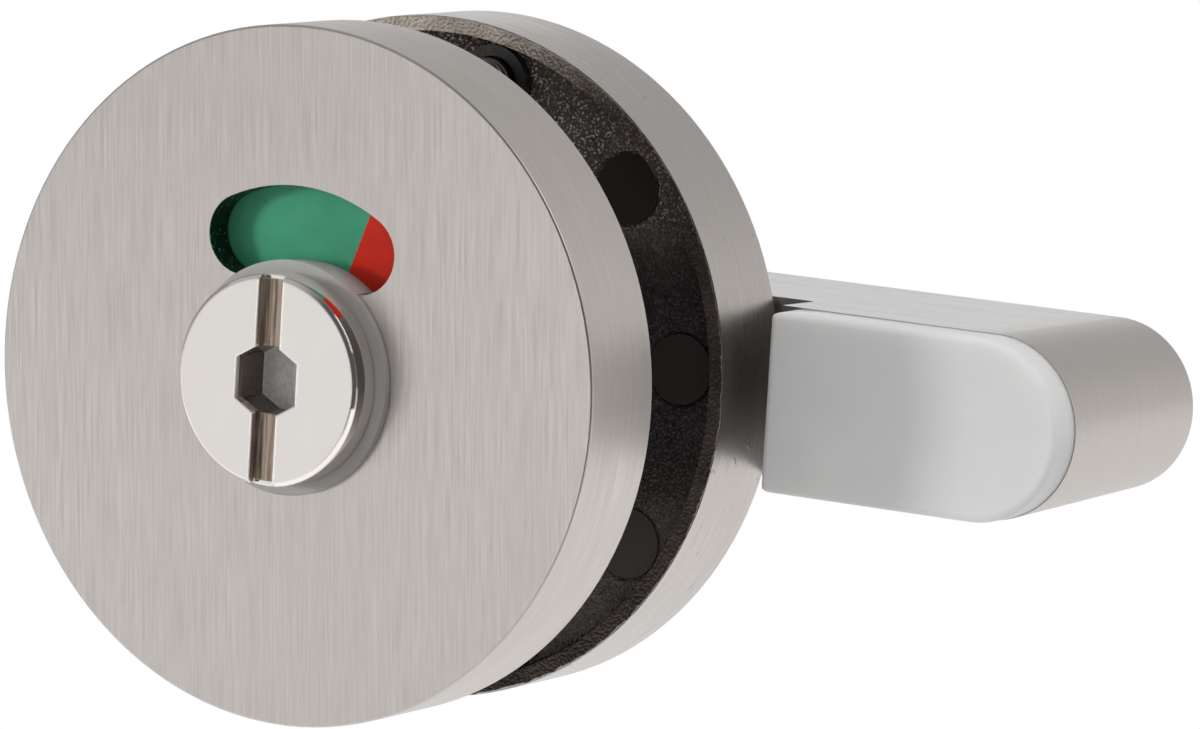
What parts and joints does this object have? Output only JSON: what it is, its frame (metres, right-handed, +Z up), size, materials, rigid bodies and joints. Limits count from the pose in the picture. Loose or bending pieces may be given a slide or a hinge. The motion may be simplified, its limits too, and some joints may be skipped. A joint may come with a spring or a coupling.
{
  "type": "toilet indicator bolt",
  "caption": "Toilet cubicle indicator bolt: round roses clamp a thin door, a coin-slot release and coloured window outside, a padded turning arm inside.",
  "frame": {"origin": "on the spindle axis, at the outer face of the door, where the outer rose seats", "axes": "+X along the arm at rest, +Y through the door from the outside to the inside, +Z up"},
  "size_m": [0.099, 0.0583, 0.065],
  "materials": {
    "rose_steel": "brushed",
    "cast_steel": "brushed rim, cast recess",
    "arm_steel": "brushed",
    "bright_plate": "polished",
    "milky_nylon": "natural nylon",
    "white_nylon": "satin",
    "disc_plastic": "moulded",
    "green_colour": "satin",
    "red_colour": "satin",
    "spring_steel": "blackened",
    "plain_steel": "zinc plated",
    "screw_steel": "plain",
    "bush_steel": "turned"
  },
  "bodies": {
    "door_set": {"outer_rose": "rose_steel", "release_collar": "milky_nylon", "fixing_screws": "screw_steel", "screw_bushes": "bush_steel", "inner_rose": "cast_steel", "hub_bush": "milky_nylon"},
    "turn_set": {"release_turn": "bright_plate", "indicator_disc": "disc_plastic", "green_panel": "green_colour", "red_panel": "red_colour", "spring_washer": "spring_steel", "release_clip": "spring_steel", "spindle": "plain_steel", "hub_washer": "milky_nylon", "stop_plate": "plain_steel", "hub_clip": "spring_steel", "bolt_arm": "arm_steel", "arm_pad": "white_nylon", "pad_pins": "plain_steel", "grub_screw": "screw_steel"}
  },
  "joints": [
    {"name": "bolt_turn", "type": "hinge", "parent": "door_set", "child": "turn_set", "pos_m": [0, 0, 0], "axis": [0, -1, 0], "range_deg": [0, 90]}
  ]
}
